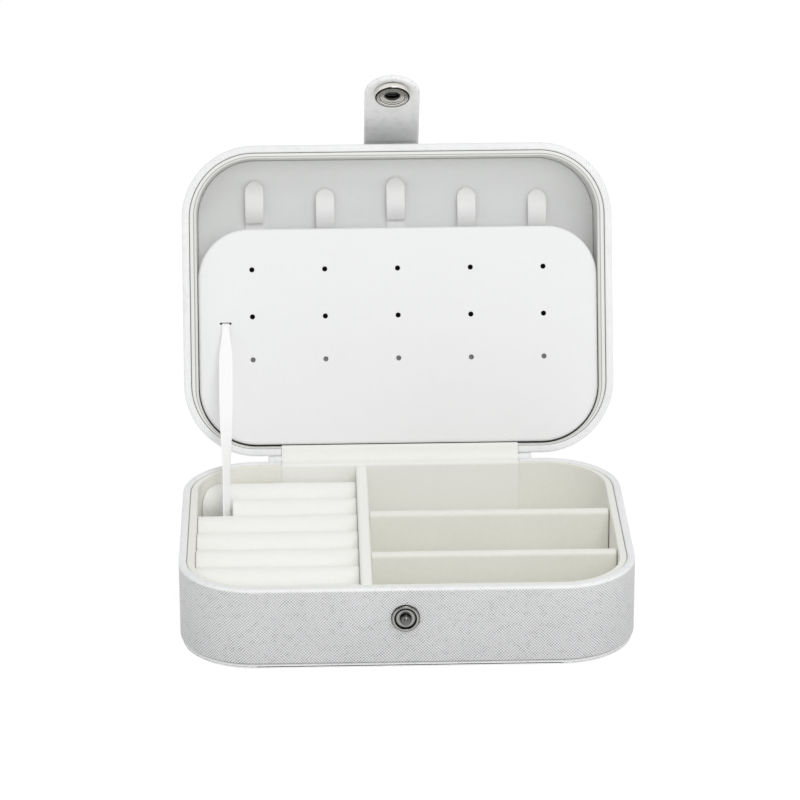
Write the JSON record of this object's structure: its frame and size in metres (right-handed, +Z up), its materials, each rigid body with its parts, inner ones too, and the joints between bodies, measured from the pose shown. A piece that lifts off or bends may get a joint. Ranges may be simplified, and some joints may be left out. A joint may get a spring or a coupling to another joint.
{
  "type": "jewelry box",
  "caption": "Rounded white leather travel jewelry box with a hinged lid, snap strap, ring rolls, divided compartments, earring board, necklace tabs and a lid ribbon.",
  "frame": {"origin": "middle of the underside of the base, on the face that the box rests on", "axes": "+X to the right seen from the front, +Y to the hinge at the back, +Z up; lid open"},
  "size_m": [0.16, 0.1833, 0.168],
  "materials": {
    "white_leather": "white cross-grain embossed synthetic leather, semi-matte",
    "grey_board": "pressed grey board",
    "velour": "off-white short pile velour on card",
    "plush_foam": "white plush over foam",
    "board_velour": "white flocked velour over a padded board",
    "tab_fabric": "white flocked fabric strip",
    "satin": "white woven satin",
    "nickel": "polished nickel plate",
    "spring_steel": "plain steel"
  },
  "bodies": {
    "base": {"bottom_cover": "white_leather", "bottom_board": "grey_board", "base_wall_board": "grey_board", "base_leather_wrap": "white_leather", "base_liner": "velour", "base_floor_pad": "velour", "main_divider": "velour", "rear_cross_divider": "velour", "front_cross_divider": "velour", "ring_roll_1": "plush_foam", "ring_roll_2": "plush_foam", "ring_roll_3": "plush_foam", "ring_roll_4": "plush_foam", "ring_roll_5": "plush_foam", "ring_roll_6": "plush_foam", "ring_roll_7": "plush_foam", "stud_plate": "nickel", "stud_ball": "nickel", "stud_backing": "spring_steel", "hinge_base_leaf": "satin", "hinge_outer_base_leaf": "white_leather", "ribbon_base_anchor": "satin", "lid_ribbon": "satin"},
    "lid": {"top_cover": "white_leather", "top_board": "grey_board", "lid_wall_board": "grey_board", "lid_leather_wrap": "white_leather", "lid_liner": "velour", "lid_back_panel": "velour", "earring_board": "board_velour", "board_foam": "plush_foam", "lower_tab_1": "tab_fabric", "lower_tab_2": "tab_fabric", "lower_tab_3": "tab_fabric", "lower_tab_4": "tab_fabric", "lower_tab_5": "tab_fabric", "hinge_lid_leaf": "satin", "hinge_outer_lid_leaf": "white_leather", "strap_root": "white_leather", "ribbon_lid_anchor": "satin"},
    "clasp": {"strap_outer": "white_leather", "strap_core": "grey_board", "strap_inner": "white_leather", "snap_socket": "nickel", "socket_spring": "spring_steel", "snap_cap": "nickel"},
    "tab_1": {"necklace_tab_1": "tab_fabric"},
    "tab_2": {"necklace_tab_2": "tab_fabric"},
    "tab_3": {"necklace_tab_3": "tab_fabric"},
    "tab_4": {"necklace_tab_4": "tab_fabric"},
    "tab_5": {"necklace_tab_5": "tab_fabric"}
  },
  "joints": [
    {"name": "lid_hinge", "type": "hinge", "parent": "base", "child": "lid", "pos_m": [0, 0.05885, 0.03065], "axis": [1, 0, 0], "range_deg": [0, 110], "deforming": ["lid_ribbon"]},
    {"name": "clasp_strap_bend", "type": "hinge", "parent": "lid", "child": "clasp", "pos_m": [-0.0013, 0.12097, 0.13351], "axis": [-1, 0, 0], "range_deg": [-25, 60], "stiffness_Nm_per_rad": 0.05},
    {"name": "necklace_tab_1_bend", "type": "hinge", "parent": "lid", "child": "tab_1", "pos_m": [-0.0532, 0.11249, 0.121], "axis": [-1, 0, 0], "range_deg": [0, 50], "stiffness_Nm_per_rad": 0.001},
    {"name": "necklace_tab_2_bend", "type": "hinge", "parent": "lid", "child": "tab_2", "pos_m": [-0.0266, 0.11146, 0.11818], "axis": [-1, 0, 0], "range_deg": [0, 50], "stiffness_Nm_per_rad": 0.001},
    {"name": "necklace_tab_3_bend", "type": "hinge", "parent": "lid", "child": "tab_3", "pos_m": [0, 0.11276, 0.12176], "axis": [-1, 0, 0], "range_deg": [0, 50], "stiffness_Nm_per_rad": 0.001},
    {"name": "necklace_tab_4_bend", "type": "hinge", "parent": "lid", "child": "tab_4", "pos_m": [0.0266, 0.11143, 0.11809], "axis": [-1, 0, 0], "range_deg": [0, 50], "stiffness_Nm_per_rad": 0.001},
    {"name": "necklace_tab_5_bend", "type": "hinge", "parent": "lid", "child": "tab_5", "pos_m": [0.0532, 0.11105, 0.11706], "axis": [-1, 0, 0], "range_deg": [0, 50], "stiffness_Nm_per_rad": 0.001}
  ]
}
